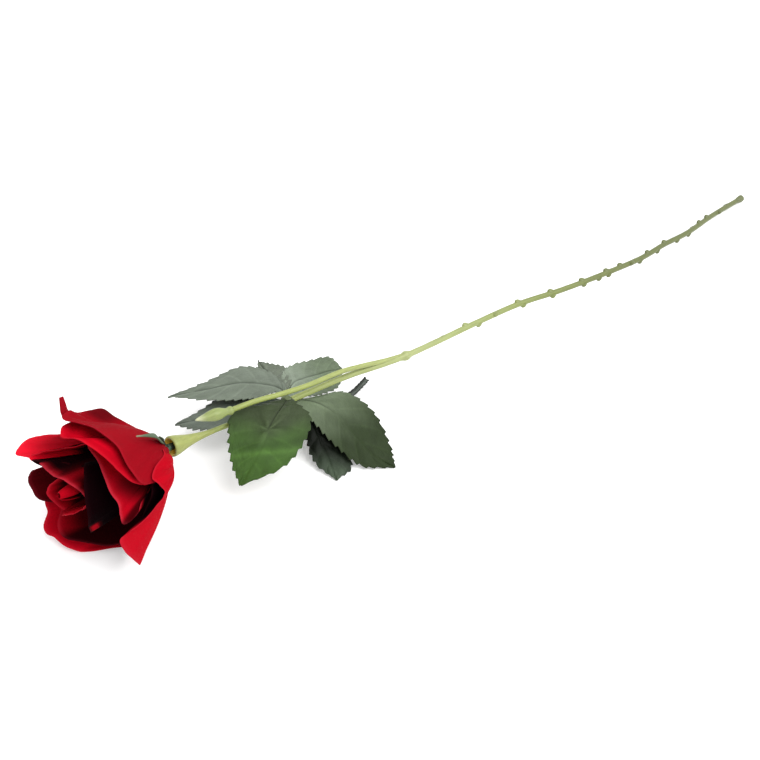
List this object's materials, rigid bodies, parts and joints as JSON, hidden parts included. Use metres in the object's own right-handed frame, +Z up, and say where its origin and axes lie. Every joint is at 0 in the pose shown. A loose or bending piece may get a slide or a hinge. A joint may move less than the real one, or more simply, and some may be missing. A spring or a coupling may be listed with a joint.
{
  "type": "artificial rose stem",
  "caption": "Long-stemmed artificial rose lying down: cupped fabric bloom, fabric leaf whorl, and a moulded stem with thorn stubs, a socket under the bloom and a side shoot with a closed bud.",
  "frame": {"origin": "on the surface the flower lies on, under the middle of its overall length and width", "axes": "+X along the stem from the bloom towards the cut end, +Z up away from the surface, +Y across to the side that the long leaf points to"},
  "size_m": [0.6416, 0.1274, 0.0982],
  "materials": {
    "stem_plastic": "satin, pale yellow-green",
    "wire": "plain drawn wire",
    "petal_fabric": "matt woven cloth",
    "calyx_plastic": "satin, mid green",
    "leaf_fabric": "matt coated cloth, grey-green"
  },
  "bodies": {
    "root": {"stem": "stem_plastic", "stem_wire": "wire", "bloom": "petal_fabric", "calyx": "calyx_plastic", "leaves": "leaf_fabric"}
  },
  "joints": []
}
